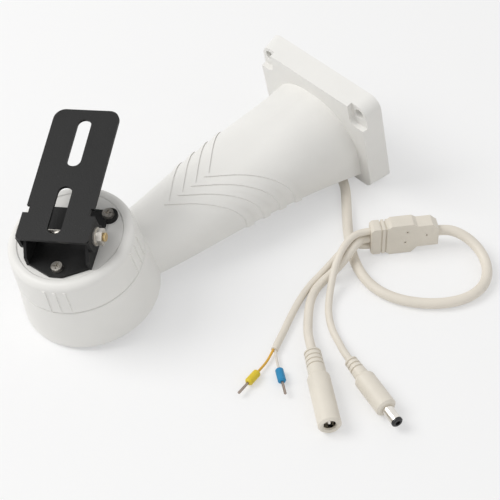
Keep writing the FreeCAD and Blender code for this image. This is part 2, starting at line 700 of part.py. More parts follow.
def build_gears():
    module = S.gear_module.value
    ring_pitch = module * S.ring_teeth.value / 2
    small_pitch = module * S.pinion_teeth.value / 2
    teeth = int(S.pinion_teeth.value)
    bottom, face = S.gear_bottom.value, S.gear_face.value
    spaces = gear_wire(int(S.ring_teeth.value), module, ring_pitch + 1.25 * module, ring_pitch - 0.55 * module,
                       S.gear_backlash.value, True)
    blank = Part.makeCylinder(S.ring_outer.value, face, Vector(0, 0, bottom))
    tooth_spaces = Part.Face(spaces).extrude(Vector(0, 0, face + 2))
    tooth_spaces.translate(Vector(0, 0, bottom - 1))
    ring = blank.cut(tooth_spaces)
    for x, y in ring_holes():
        hole = Part.makeCylinder(S.m2_radius.value + S.screw_fit.value, face + 2, Vector(x.value, y.value, bottom - 1))
        ring = ring.cut(hole)
    item = doc.addObject("Part::Feature", "ring_gear")
    item.Shape = ring
    node("ring_gear", item, "ring")
    outline = gear_wire(teeth, module, small_pitch + 0.9 * module, small_pitch - 1.1 * module,
                        S.gear_backlash.value, False)
    pinion = Part.Face(outline).extrude(Vector(0, 0, face))
    pinion.translate(Vector(0, 0, bottom))
    bore = Part.makeCylinder(S.shaft_radius.value + S.press_fit.value, face + 2, Vector(0, 0, bottom - 1))
    item = doc.addObject("Part::Feature", "drive_pinion")
    item.Shape = pinion.cut(bore)
    node("drive_pinion", item, "pinion")
    screw_set("ring_gear_screws", "ring", ring_holes(), S.gear_bottom, 9.5, m2())


# ---- the two pressed brackets ----
def build_u_bracket():
    body = Body("u_bracket")
    base = S.cap_height - S.dish_depth
    half = S.bracket_half_width
    tip = S.bracket_tip
    outline = [(tip, -3.2, 3.0), (tip, 3.2, 3.0), (S.bracket_shoulder, half, 2.0), (-S.bracket_rear, half),
               (-S.bracket_rear, -half), (S.bracket_shoulder, -half, 2.0)]
    body.pad(body.sketch("XY", [outline], shift=base), S.sheet_metal)
    tab = S.tab_radius
    for side in (1, -1):
        body.pad(body.sketch("XY", [rectangle(-S.tab_x - tab, side * S.tab_y - tab, -S.tab_x + tab, side * S.tab_y + tab,
                                              tab - 0.3, tab - 0.3, tab - 0.3, tab - 0.3)], shift=base), S.sheet_metal)
    bend = base + S.ear_straight
    crown = S.ear_round / 2 + 0.1
    ear = [(S.ear_front, base), (S.ear_front, bend), (S.tilt_x + crown, S.tilt_z + S.ear_round, S.ear_round - 0.1),
           (S.tilt_x - crown, S.tilt_z + S.ear_round, S.ear_round - 0.1), (-S.ear_back, bend), (-S.ear_back, base)]
    for side in (1, -1):
        shift = -half if side > 0 else half - S.sheet_metal
        sketch = body.sketch("XZ", [ear], [(S.tilt_x, S.tilt_z, S.bolt_radius + S.running_fit)], shift=shift)
        body.pad(sketch, S.sheet_metal)
    holes = [(x, y, S.m3_radius + S.screw_fit) for x, y in bracket_holes()]
    body.pocket(body.sketch("XY", circles=holes, shift=base + S.sheet_metal), 2 * S.sheet_metal)
    node("u_bracket", body.body, "pan")


FLANGE_IN = S.bracket_half_width + S.body_gap
FLANGE_OUT = FLANGE_IN + S.sheet_metal


def build_tilt_plate():
    """Drawn about the tilt axis, with +X along the plate."""
    body = Body("tilt_plate")
    half = S.tilt_half_width
    relief = half - S.relief_depth
    end = S.relief_end
    outline = [(-S.tilt_back, -FLANGE_OUT, 2.0), (S.flange_end, -FLANGE_OUT), (S.flange_end, -relief), (end, -relief),
               (end, -half), (S.tilt_length, -half, S.tilt_corner), (S.tilt_length, half, S.tilt_corner),
               (end, half), (end, relief), (S.flange_end, relief), (S.flange_end, FLANGE_OUT),
               (-S.tilt_back, FLANGE_OUT, 2.0)]
    body.pad(body.sketch("XY", [outline], shift=S.tilt_rise), S.sheet_metal, back=True)
    top = S.tilt_rise - S.sheet_metal / 2
    round_to = S.flange_round
    ear = [(-round_to - 0.4, top), (-round_to - 0.4, -round_to, round_to - 0.1),
           (S.flange_end, -round_to, round_to - 0.8), (S.flange_end, top)]
    for side in (1, -1):
        shift = -FLANGE_OUT if side > 0 else FLANGE_IN
        body.pad(body.sketch("XZ", [ear], [(0.0, 0.0, S.bolt_radius + S.running_fit)], shift=shift), S.sheet_metal)
    wide = S.slot_half_width
    bend = wide - 0.1
    for start, stop in ((S.slot_near, S.slot_near_end), (S.slot_far, S.slot_far_end)):
        slot = body.sketch("XY", [rectangle(start, -wide, stop, wide, bend, bend, bend, bend)], shift=S.tilt_rise)
        body.pocket(slot, 2 * S.sheet_metal)
    node("tilt_plate", body.body, "tilt")


def spin_y(label, corners, place):
    """A body of revolution about the tilt axis; the outline is radius against distance along it."""
    body = Body(label)
    sketch = body.sketch("XZ", [corners])
    body.feature("Revolution", sketch, ReferenceAxis=(sketch, ["V_Axis"]), Angle=360.0)
    node(label, body.body, place)
    return body


def build_tilt_bolt():
    """Each is drawn upright about Z and laid along the tilt axis by its frame."""
    head = S.bolt_head_radius
    seat = -FLANGE_OUT
    bolt = spin_y("tilt_bolt", [(0.0, seat - S.bolt_head_height), (head, seat - S.bolt_head_height, 1.6), (head, seat),
                                (S.bolt_radius, seat), (S.bolt_radius, S.bolt_thread_end), (0.0, S.bolt_thread_end)], "bolt")
    arm, half = head * 0.6, head * 0.13
    for wide, tall in ((arm, half), (half, arm)):
        cross = bolt.sketch("XY", [rectangle(-wide, -tall, wide, tall)], shift=seat - S.bolt_head_height)
        bolt.pocket(cross, 1.3, back=True)
    hole = S.bolt_radius + S.running_fit
    first = FLANGE_OUT
    second = first + S.washer_thickness
    third = second + S.spring_thickness
    spin_y("tilt_washer", rectangle(hole, first, S.washer_radius, second), "bolt")
    spring = spin_y("tilt_spring_washer", rectangle(hole, second, S.spring_radius, third), "bolt")
    spring.pocket(spring.sketch("XY", [rectangle(0.0, -0.4, 6.0, 0.4)], shift=third), 2 * S.spring_thickness)
    nut = Body("tilt_nut")
    corner = S.nut_flats / math.sqrt(3)
    hexagon = [polar(corner, 60 * k + 30) for k in range(6)]
    nut.pad(nut.sketch("XY", [hexagon], [(0.0, 0.0, hole)], shift=third), S.nut_height)
    node("tilt_nut", nut.body, "bolt")


# ---- the cables, drawn straight in the model's own frame ----
MAIN_ROUTE = [
    (96.4, -19.3, 2.85), (85.9, -19.8, 2.85), (80.9, -30.8, 2.75), (72.4, -40.3, 2.75),
    (64.4, -48.8, 2.75), (56.9, -57.1, 2.75), (50.4, -65.2, 2.75), (45.0, -73.3, 2.75),
    (40.9, -81.8, 2.75), (38.8, -90.0, 2.75), (38.8, -98.1, 2.75), (41.0, -106.1, 2.75),
    (45.2, -113.5, 2.75), (50.9, -120.3, 2.75), (57.7, -125.8, 2.75), (65.6, -129.6, 2.75),
    (73.6, -130.7, 2.80), (81.0, -129.2, 3.00), (87.2, -125.1, 3.60), (91.6, -119.3, 4.60),
    (94.0, -112.6, 5.90), (94.3, -105.9, 7.40), (92.7, -99.7, 8.80), (89.6, -94.8, 9.50),
    (85.5, -92.0, 9.50),
]
DATA_ROUTE = [
    (56.9, -72.4, 4.20), (53.6, -70.1, 4.20), (50.2, -68.0, 7.20), (45.4, -68.3, 8.20),
    (39.4, -68.4, 7.20), (32.7, -68.5, 4.30), (25.4, -69.0, 2.20), (17.7, -70.2, 1.85),
    (9.9, -72.7, 1.85), (2.4, -75.9, 1.85), (-5.1, -79.5, 1.85), (-12.1, -83.2, 1.85),
    (-18.6, -86.4, 1.85), (-24.4, -89.4, 1.85),
]
JACK_ROUTE = [
    (56.9, -72.4, 9.20), (53.6, -70.1, 9.20), (49.4, -71.6, 11.40), (43.9, -72.7, 10.60),
    (37.4, -73.6, 7.80), (30.4, -73.5, 4.40), (23.4, -73.2, 2.50), (16.9, -74.5, 2.30),
    (10.7, -77.7, 2.30), (4.7, -82.5, 2.30), (-1.6, -88.5, 2.40), (-7.0, -94.2, 3.90),
    (-11.1, -99.8, 5.55), (-14.4, -104.8, 5.55),
]
PLUG_ROUTE = [
    (56.9, -72.4, 14.20), (53.6, -70.1, 14.20), (47.4, -69.3, 14.80), (40.9, -70.2, 13.60),
    (34.4, -72.5, 11.20), (28.4, -75.7, 8.40), (22.7, -79.6, 5.00), (17.2, -83.9, 2.40),
    (11.8, -88.9, 1.85), (7.2, -94.7, 1.85), (3.4, -101.3, 1.85), (0.4, -108.1, 3.00),
    (-3.3, -114.7, 5.15), (-4.8, -120.6, 5.15),
]
YELLOW_ROUTE = [
    (-24.7, -88.9, 1.90), (-32.1, -92.3, 1.60), (-39.7, -94.2, 2.05),
]
WHITE_ROUTE = [
    (-24.3, -90.0, 1.90), (-27.8, -94.5, 1.60), (-31.2, -99.9, 2.05),
]


def tube(label, route, radius):
    """A round cable along straight runs joined by tangent arcs."""
    points = [Vector(*p) for p in route]
    edges = []
    start = points[0]
    tightest = 1e9
    for before, corner, after in zip(points, points[1:], points[2:]):
        inward = (corner - before).normalize()
        outward = (after - corner).normalize()
        turn = inward.getAngle(outward)
        reach = 0.45 * min((corner - before).Length, (after - corner).Length)
        bend = reach / math.tan(turn / 2)
        tightest = min(tightest, bend)
        first = corner - inward * reach
        last = corner + outward * reach
        towards = (outward - inward).normalize()
        middle = corner + towards * (bend / math.cos(turn / 2) - bend)
        edges.append(Part.LineSegment(start, first).toShape())
        edges.append(Part.Arc(first, middle, last).toShape())
        start = last
    edges.append(Part.LineSegment(start, points[-1]).toShape())
    spine = Part.Wire(edges)
    ring = Part.Wire([Part.Circle(points[0], points[1] - points[0], radius.value).toShape()])
    item = doc.addObject("Part::Feature", label)
    item.Shape = spine.makePipeShell([ring], True, False)
    share = item.Shape.Volume / (math.pi * radius.value ** 2 * spine.Length)
    print("%s: length %.1f mm, tightest bend %.1f mm, volume share %.4f" % (label, spine.Length, tightest, share))
    node(label, item, "row")


def along(route, last=True):
    """The frame at a cable's end, with +Z running on out of it."""
    tip, back = (route[-1], route[-2]) if last else (route[0], route[1])
    direction = Vector(*tip) - Vector(*back)
    return Placement(Vector(*tip), Rotation(Vector(0, 0, 1), direction))


def build_splitter():
    """A flat moulded block that stands on its narrow edge."""
    high = S.splitter_height
    long = S.splitter_length
    neck = (high - S.splitter_neck) / 2
    foot = high - S.splitter_tail - 1.6
    outline = [(0.0, neck + 1.2), (1.2, neck), (8.6, neck), (9.6, 0.0), (20.8, 0.0), (23.8, foot), (long, foot),
               (long, high - 4.8), (long - 3.4, high - 1.6), (23.6, high - 1.6), (21.4, high), (10.4, high),
               (9.2, high - neck), (1.4, high - neck), (0.0, high - neck - 1.4)]
    half = S.splitter_thickness / 2
    body = Body("splitter_block")
    body.pad(body.sketch("XZ", [outline]), S.splitter_thickness, both=True)
    for place in (4.9, 7.2):
        for side in (-1, 1):
            slot = body.sketch("XY", [rectangle(place, side * half - 0.7, place + 0.8, side * half + 0.7)],
                               shift=high + 1.0)
            body.pocket(slot, high + 2.0)
        lid = body.sketch("XZ", [rectangle(place, high - neck - 0.7, place + 0.8, high)])
        body.pocket(lid, S.splitter_thickness + 1.0, both=True)
    for x, z in ((18.4, high * 0.74), (17.6, high * 0.38), (28.4, high * 0.56)):
        pin = body.sketch("XZ", circles=[(x, z, 0.55)], shift=half)
        body.pocket(pin, 1.6)
    start, end = Vector(*DATA_ROUTE[0]), Vector(*MAIN_ROUTE[-1])
    turn = math.degrees(math.atan2(end.y - start.y, end.x - start.x))
    item = node("splitter_block", body.body, "row")
    turned = Rotation(Vector(0, 0, 1), turn)
    item.Placement = Placement(Vector(start.x, start.y, 0.05) + turned.multVec(Vector(0.03, 0, 0)), turned)


def strain_relief(first, last, length, grooves):
    """The outline of a grooved, slightly flaring sleeve, from its thin end on."""
    points = [(0.0, 0.0), (first - 0.5, 0.0), (first, 0.6)]
    step = length / (grooves + 0.6)
    for index in range(grooves):
        low = 1.3 + index * step * 0.8
        near = first + (last - first) * low / length
        points += [(near, low), (near - 0.55, low + 0.2), (near - 0.55, low + 0.7), (near, low + 0.9)]
    return points + [(last, length)]


def build_jack():
    frame = along(JACK_ROUTE)
    relief, long, radius = S.jack_relief, S.jack_length, S.jack_radius
    mouth = relief + long
    floor = mouth - S.jack_bore_depth
    body = Body("jack_body")
    outline = strain_relief(S.relief_radius_jack - 0.3, S.relief_radius_jack, relief, 4)
    outline += [(radius - 0.5, relief + 0.5), (radius, relief + 1.6), (radius, mouth - 0.9), (radius - 0.9, mouth),
                (radius - 1.5, mouth), (S.jack_bore, mouth - 0.6), (S.jack_bore, floor), (0.0, floor)]
    body.revolve(outline)
    bore = S.jack_bore - S.press_fit
    sleeve = Body("jack_contact_sleeve")
    sleeve.revolve(rectangle(bore - S.jack_sleeve_wall, floor, bore, mouth - 1.4))
    pin = Body("jack_pin")
    pin.revolve([(0.0, floor), (S.jack_pin_radius, floor), (S.jack_pin_radius, mouth - 2.4),
                 (S.jack_pin_radius - 0.4, mouth - 1.9), (0.0, mouth - 1.9)])
    for label, item in (("jack_body", body), ("jack_contact_sleeve", sleeve), ("jack_pin", pin)):
        node(label, item.body, "row").Placement = frame


def build_plug():
    frame = along(PLUG_ROUTE)
    relief, long, radius = S.plug_relief, S.plug_length, S.plug_radius
    face = relief + long
    tip = face + S.barrel_length
    body = Body("plug_body")
    outline = strain_relief(S.relief_radius_plug - 0.4, S.relief_radius_plug, relief, 3)
    outline += [(radius - 0.7, relief + 1.0), (radius, relief + 2.2), (radius, face - 1.0), (radius - 1.0, face),
                (0.0, face)]
    body.revolve(outline)
    barrel = Body("plug_barrel")
    end = tip - S.tip_ring
    barrel.revolve([(0.0, face), (S.barrel_radius, face), (S.barrel_radius, end), (S.barrel_bore, end),
                    (S.barrel_bore, tip - S.barrel_bore_depth), (0.0, tip - S.barrel_bore_depth)])
    ring = Body("plug_tip_insulator")
    ring.revolve([(S.barrel_bore, end), (S.barrel_radius, end), (S.barrel_radius, tip - 0.5),
                  (S.barrel_radius - 0.5, tip), (S.barrel_bore, tip)])
    for label, item in (("plug_body", body), ("plug_barrel", barrel), ("plug_tip_insulator", ring)):
        node(label, item.body, "row").Placement = frame


def build_ferrules():
    pins = []
    for colour, route in (("yellow", YELLOW_ROUTE), ("blue", WHITE_ROUTE)):
        frame = along(route)
        radius, long = S.ferrule_radius, S.ferrule_length
        sleeve = Body("ferrule_sleeve_" + colour)
        sleeve.revolve([(0.0, 0.0), (radius - 0.5, 0.0), (radius, 0.6), (radius, long - 0.8), (radius - 0.7, long),
                        (0.0, long)])
        node("ferrule_sleeve_" + colour, sleeve.body, "row").Placement = frame
        pin = Body("ferrule_pin_" + colour)
        size, end = S.ferrule_pin_radius, long + S.ferrule_pin_length
        pin.revolve([(0.0, long), (size, long), (size, end - 0.3), (size - 0.3, end), (0.0, end)])
        pin.body.Placement = frame
        pins.append(pin.body)
    group = doc.addObject("Part::Compound", "ferrule_pins")
    group.Links = pins
    node("ferrule_pins", group, "row")


def build_cables():
    tube("main_cable", MAIN_ROUTE, S.main_cable_radius)
    tube("lead_data", DATA_ROUTE, S.data_lead_radius)
    tube("lead_jack", JACK_ROUTE, S.jack_lead_radius)
    tube("lead_plug", PLUG_ROUTE, S.plug_lead_radius)
    tube("wire_yellow", YELLOW_ROUTE, S.wire_radius)
    tube("wire_white", WHITE_ROUTE, S.wire_radius)
    build_splitter()
    build_jack()
    build_plug()
    build_ferrules()


# ---- frames ----
def frames():
    """Where each local frame stands when the object rests on its head edge and plate edge."""
    lean = math.degrees(math.atan2(S.plate_drop.value, (S.plate_front + S.head_base_radius).value))
    rest = Placement(Vector(), Rotation(Vector(0, 1, 0), -lean))
    pan = Placement(Vector(), Rotation(Vector(0, 0, 1), S.bracket_angle.value))
    tilt = Placement(Vector(S.tilt_x.value, 0, S.tilt_z.value), Rotation(Vector(0, 0, 1), 180))
    raise_up = Placement(Vector(), Rotation(Vector(0, 1, 0), -S.tilt_rest.value))
    bolt = Placement(Vector(), Rotation(Vector(1, 0, 0), 90))
    at_pinion = Placement(Vector(-PINION_DISTANCE.value, 0, 0), Rotation())
    return {
        "head": rest, "pan": rest * pan, "ring": rest, "pinion": rest * at_pinion,
        "tilt": rest * pan * tilt * raise_up, "bolt": rest * pan * tilt * raise_up * bolt,
    }


def seat_on_table():
    """Shifts every rigid piece so that the box's bottom centre is the origin."""
    low, high = [1e9] * 3, [-1e9] * 3
    placed = frames()
    rigid = [pair for pair in NODES.values() if pair[1] != "row"]
    for item, place in rigid:
        shape = item.Shape.copy()
        shape.Placement = placed[place] * shape.Placement
        points, _ = shape.tessellate(0.1)
        for k in range(3):
            low[k] = min(low[k], min(p[k] for p in points))
            high[k] = max(high[k], max(p[k] for p in points))
    shift = Vector(-(low[0] + high[0]) / 2, -(low[1] + high[1]) / 2, -low[2])
    print("box", [round(h - l, 3) for h, l in zip(high, low)], "shift", shift)
    for item, place in rigid:
        item.Placement = Placement(shift, Rotation()) * placed[place] * item.Placement
    return shift


build_housing()
build_cover()
build_motor()
build_board()
build_pan_support()
build_cap()
build_gears()
build_u_bracket()
build_tilt_plate()
build_tilt_bolt()
build_cables()
doc.recompute()
seat_on_table()
doc.recompute()

faults = [item.Name for item in doc.Objects if "Invalid" in item.State or "Error" in item.State]
for label, (item, place) in NODES.items():
    if item.Shape.isNull() or not item.Shape.isValid() or item.Shape.Volume <= 0:
        faults.append(label)
if faults:
    raise SystemExit("these did not build: " + ", ".join(faults))
for label, (item, place) in NODES.items():
    print(label, len(item.Shape.Solids), round(item.Shape.Volume, 1))
    item.Shape.exportStep("parts/%s.step" % label)
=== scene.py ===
import json
import math

import bmesh
import bpy
from bpy.props import FloatProperty, FloatVectorProperty, PointerProperty
from mathutils import Matrix, Vector


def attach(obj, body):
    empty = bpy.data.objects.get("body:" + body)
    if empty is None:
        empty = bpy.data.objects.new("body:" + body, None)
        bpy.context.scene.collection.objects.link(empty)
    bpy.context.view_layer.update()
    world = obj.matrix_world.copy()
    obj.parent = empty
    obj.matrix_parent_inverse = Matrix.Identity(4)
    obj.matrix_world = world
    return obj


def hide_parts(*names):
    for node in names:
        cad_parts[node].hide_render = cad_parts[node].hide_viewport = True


bl_info = {
    "name": "Pan and tilt bracket",
    "version": (1, 0, 0),
    "blender": (4, 5, 0),
    "location": "View3D > Sidebar > Bracket",
    "description": "Finishes a motorised wall bracket with a turning head, a slotted plate and its cables",
    "category": "Object",
}

# The bolt, as distances along it from the tilt joint, in metres.
BRASS_FROM = 0.0205
THREAD_FROM = 0.0222
THREAD_RADIUS = 0.0020
RIDGE_DEPTH = 0.00022
RIDGE_SIDES = 28
RIDGES_SHOWN = 2
THREAD_WAVE = 12566.0

# The camera's place, its axes and its lens in millimetres.
CAMERA_PLACE = (-0.32932, -0.42610, 0.52786)
CAMERA_RIGHT = (0.74183, -0.67026, -0.02124)
CAMERA_DOWN = (-0.48719, -0.51692, -0.70387)
CAMERA_AHEAD = (0.46080, 0.53249, -0.71001)
CAMERA_LENS = 104.74

# Half the floor's width, its drop below the object, and its glow to the camera.
FLOOR_REACH = 4.0
FLOOR_DROP = 0.0002
FLOOR_GLOW = 0.40
LAMP_TARGET = (0, -0.02, 0.03)

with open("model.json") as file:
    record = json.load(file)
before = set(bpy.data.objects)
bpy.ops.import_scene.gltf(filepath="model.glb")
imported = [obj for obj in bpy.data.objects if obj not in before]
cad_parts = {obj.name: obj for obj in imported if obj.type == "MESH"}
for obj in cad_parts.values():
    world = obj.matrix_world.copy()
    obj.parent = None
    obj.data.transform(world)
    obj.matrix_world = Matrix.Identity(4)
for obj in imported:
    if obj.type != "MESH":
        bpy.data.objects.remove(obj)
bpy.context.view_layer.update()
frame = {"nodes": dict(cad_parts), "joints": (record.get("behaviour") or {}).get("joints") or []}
NODES = frame["nodes"]

# The cables' own routes, in metres.
MAIN_ROUTE = [
    (0.0964, -0.0193, 0.00285), (0.0859, -0.0198, 0.00285), (0.0809, -0.0308, 0.00275),
    (0.0724, -0.0403, 0.00275), (0.0644, -0.0488, 0.00275), (0.0569, -0.0571, 0.00275),
    (0.0504, -0.0652, 0.00275), (0.0450, -0.0733, 0.00275), (0.0409, -0.0818, 0.00275),
    (0.0388, -0.0900, 0.00275), (0.0388, -0.0981, 0.00275), (0.0410, -0.1061, 0.00275),
    (0.0452, -0.1135, 0.00275), (0.0509, -0.1203, 0.00275), (0.0577, -0.1258, 0.00275),
    (0.0656, -0.1296, 0.00275), (0.0736, -0.1307, 0.00280), (0.0810, -0.1292, 0.00300),
    (0.0872, -0.1251, 0.00360), (0.0916, -0.1193, 0.00460), (0.0940, -0.1126, 0.00590),
    (0.0943, -0.1059, 0.00740), (0.0927, -0.0997, 0.00880), (0.0896, -0.0948, 0.00950),
    (0.0855, -0.0920, 0.00950),
]
DATA_ROUTE = [
    (0.0569, -0.0724, 0.00420), (0.0536, -0.0701, 0.00420), (0.0502, -0.0680, 0.00720),
    (0.0454, -0.0683, 0.00820), (0.0394, -0.0684, 0.00720), (0.0327, -0.0685, 0.00430),
    (0.0254, -0.0690, 0.00220), (0.0177, -0.0702, 0.00185), (0.0099, -0.0727, 0.00185),
    (0.0024, -0.0759, 0.00185), (-0.0051, -0.0795, 0.00185), (-0.0121, -0.0832, 0.00185),
    (-0.0186, -0.0864, 0.00185), (-0.0244, -0.0894, 0.00185),
]
JACK_ROUTE = [
    (0.0569, -0.0724, 0.00920), (0.0536, -0.0701, 0.00920), (0.0494, -0.0716, 0.01140),
    (0.0439, -0.0727, 0.01060), (0.0374, -0.0736, 0.00780), (0.0304, -0.0735, 0.00440),
    (0.0234, -0.0732, 0.00250), (0.0169, -0.0745, 0.00230), (0.0107, -0.0777, 0.00230),
    (0.0047, -0.0825, 0.00230), (-0.0016, -0.0885, 0.00240), (-0.0070, -0.0942, 0.00390),
    (-0.0111, -0.0998, 0.00555), (-0.0144, -0.1048, 0.00555),
]
PLUG_ROUTE = [
    (0.0569, -0.0724, 0.01420), (0.0536, -0.0701, 0.01420), (0.0474, -0.0693, 0.01480),
    (0.0409, -0.0702, 0.01360), (0.0344, -0.0725, 0.01120), (0.0284, -0.0757, 0.00840),
    (0.0227, -0.0796, 0.00500), (0.0172, -0.0839, 0.00240), (0.0118, -0.0889, 0.00185),
    (0.0072, -0.0947, 0.00185), (0.0034, -0.1013, 0.00185), (0.0004, -0.1081, 0.00300),
    (-0.0033, -0.1147, 0.00515), (-0.0048, -0.1206, 0.00515),
]


def colour(name, words, value):
    return FloatVectorProperty(name=name, description=words, subtype="COLOR", size=3, min=0, max=1,
                               default=value)


def length(name, words, value):
    return FloatProperty(name=name, description=words, unit="LENGTH", subtype="DISTANCE", min=0,
                         default=value)


class BracketFinishes(bpy.types.PropertyGroup):
    """Colours of the coats and mouldings."""

    casting: colour("Casting", "Satin coat on the housing and the cap", (0.83, 0.82, 0.79))
    jacket: colour("Cable jacket", "Cream jacket of the cables", (0.80, 0.745, 0.655))
    moulding: colour("Moulding", "Cream moulding of the splitter and connectors", (0.77, 0.72, 0.63))
    black: colour("Black coat", "Powder coat of the pressed brackets", (0.007, 0.007, 0.007))
    nickel: colour("Nickel", "Plating of the screws", (0.62, 0.59, 0.54))
    brass: colour("Brass", "Passivated thread end", (0.62, 0.47, 0.24))
    yellow: colour("Yellow", "Crimp sleeve", (0.80, 0.60, 0.035))
    orange: colour("Orange", "Insulation of the yellow wire", (0.75, 0.42, 0.05))
    blue: colour("Blue", "Crimp sleeve", (0.015, 0.25, 0.50))


class BracketSizes(bpy.types.PropertyGroup):
    """Sizes of what is made here."""

    main_diameter: length("Main cable", "Outside diameter of the main cable", 0.0053)
    data_diameter: length("Data lead", "Outside diameter of the data lead", 0.0036)
    jack_diameter: length("Jack lead", "Outside diameter of the jack's lead", 0.0045)
    plug_diameter: length("Plug lead", "Outside diameter of the plug's lead", 0.0036)
    thread_pitch: length("Thread pitch", "Pitch of the bolt's thread", 0.0005)
    block_edge: length("Block edge", "Rounding of the splitter's edges", 0.0004)


class BracketLight(bpy.types.PropertyGroup):
    """Studio light."""

    key_power: FloatProperty(name="Key", description="Power of the key lamp", unit="POWER", min=0,
                             default=14.0)
    fill_power: FloatProperty(name="Fill", description="Power of the fill lamp", unit="POWER", min=0,
                              default=2.0)
    room: FloatProperty(name="Room", description="Strength of the room's even light", default=0.58, min=0)


# ---- shader maths ----
class Wire:
    """One output socket of a node tree; arithmetic on it adds Math nodes."""

    def __init__(self, coat, socket):
        self.coat = coat
        self.socket = socket

    def _math(self, operation, first, second=None):
        values = {0: first} if second is None else {0: first, 1: second}
        return self.coat.node("ShaderNodeMath", {"operation": operation}, values)

    def __add__(self, other):
        return self._math("ADD", self, other)

    def __sub__(self, other):
        return self._math("SUBTRACT", self, other)

    def __mul__(self, other):
        return self._math("MULTIPLY", self, other)

    def __rsub__(self, other):
        return self._math("SUBTRACT", other, self)

    __radd__ = __add__
    __rmul__ = __mul__

    def between(self, low, high, to_low=0.0, to_high=1.0):
        return self.coat.node("ShaderNodeMapRange", {"clamp": True},
                              {"Value": self, "From Min": low, "From Max": high,
                               "To Min": to_low, "To Max": to_high})


class Coat:
    """A material and the one method that adds any node to it."""

    def __init__(self, name, **fixed):
        self.material = bpy.data.materials.new(name)
        self.material.use_nodes = True
        self.tree = self.material.node_tree
        self.shader = self.tree.nodes["Principled BSDF"]
        for key, value in fixed.items():
            self.shader.inputs[key.replace("_", " ")].default_value = value
        self.place = self.node("ShaderNodeTexCoord", {}, {}, "Object")

    def feed(self, socket, value):
        if isinstance(value, Wire):
            self.tree.links.new(value.socket, socket)
        elif isinstance(value, (tuple, list)) and socket.type == "RGBA" and len(value) == 3:
            socket.default_value = (*value, 1)
        else:
            socket.default_value = value

    def node(self, kind, settings, sockets, output=0):
        item = self.tree.nodes.new(kind)
        for key, value in settings.items():
            setattr(item, key, value)
        for key, value in sockets.items():
            self.feed(item.inputs[key], value)
        return Wire(self, item.outputs[output])

    def noise(self, scale, detail=3.0, rough=0.5, at=None):
        sockets = {"Vector": at or self.place, "Scale": scale, "Detail": detail, "Roughness": rough}
        return self.node("ShaderNodeTexNoise", {}, sockets, "Fac")

    def stretch(self, x, y, z):
        return self.node("ShaderNodeMapping", {}, {"Vector": self.place, "Scale": (x, y, z)})

    def blend(self, factor, first, second):
        return self.node("ShaderNodeMix", {"data_type": "RGBA"}, {0: factor, 6: first, 7: second}, 2)

    def tint(self, base, dark, factor):
        return self.blend(factor, tuple(base), tuple(c * dark for c in base))

    def finish(self, colour_, rough, height=None, distance=0.0001, strength=0.5):
        self.feed(self.shader.inputs["Base Color"], colour_)
        self.feed(self.shader.inputs["Roughness"], rough)
        if height is not None:
            bump = self.node("ShaderNodeBump", {},
                             {"Strength": strength, "Distance": distance, "Height": height})
            self.feed(self.shader.inputs["Normal"], bump)
        return self.material


def satin_casting(base):
    """A satin coat with a fine orange peel and a faint unevenness of tone."""
    coat = Coat("satin_casting", Specular_IOR_Level=0.45)
    peel = coat.noise(1400, 2.0)
    grain = coat.noise(4200, 1.0)
    cloud = coat.noise(28, 3.0)
    speck = coat.noise(900, 3.0, 0.7).between(0.66, 0.74)
    even = coat.tint(base, 0.955, cloud.between(0.35, 0.7))
    shade = coat.blend(speck * 0.10, even, tuple(c * 0.7 for c in base))
    rough = cloud.between(0.3, 0.7, 0.36, 0.46) + grain * 0.06
    return coat.finish(shade, rough, peel * 0.7 + grain * 0.3, 0.00008, 0.35)


def cable_jacket(base, name, grain_scale=2600):
    """Soft PVC with a dull sheen, faint scuffs and a fine grain."""
    coat = Coat(name, Specular_IOR_Level=0.42)
    cloud = coat.noise(60, 3.0)
    fine = coat.noise(grain_scale, 2.0)
    scuff = coat.noise(320, 4.0, 0.75).between(0.62, 0.72)
    even = coat.tint(base, 0.93, cloud.between(0.35, 0.7))
    shade = coat.blend(scuff * 0.25, even, tuple(c * 1.12 for c in base))
    rough = cloud.between(0.3, 0.7, 0.40, 0.52) + scuff * 0.08
    return coat.finish(shade, rough, fine, 0.00006, 0.3)


def black_powder_coat(base):
    """Black powder coat: fine pebbled relief, small dust specks, rubbed spots."""
    coat = Coat("black_powder_coat", Specular_IOR_Level=0.22)
    pebble = coat.node("ShaderNodeTexVoronoi", {}, {"Vector": coat.place, "Scale": 1500.0}, "Distance")
    cloud = coat.noise(70, 4.0)
    dust = coat.noise(1600, 2.0).between(0.71, 0.76)
    shade = coat.blend(dust * 0.35, coat.tint(base, 1.9, cloud.between(0.4, 0.75)), (0.10, 0.098, 0.095))
    rough = cloud.between(0.3, 0.7, 0.40, 0.54)
    return coat.finish(shade, rough, pebble, 0.00009, 0.45)


def plated(name, base, rough_low, rough_high):
    """Plated steel with turned marks, tarnish in patches and fine pits."""
    coat = Coat(name, Metallic=1.0)
    lathe = coat.noise(900, 2.0, 0.6, coat.stretch(1.0, 1.0, 9.0))
    cloud = coat.noise(240, 4.0)
    pit = coat.noise(2600, 2.0).between(0.68, 0.74)
    shade = coat.blend(cloud.between(0.45, 0.75) * 0.5, tuple(base), tuple(c * 0.66 for c in base))
    rough = cloud.between(0.3, 0.7, rough_low, rough_high) + pit * 0.2
    return coat.finish(shade, rough, lathe * 0.6 + pit * 0.4, 0.00005, 0.35)


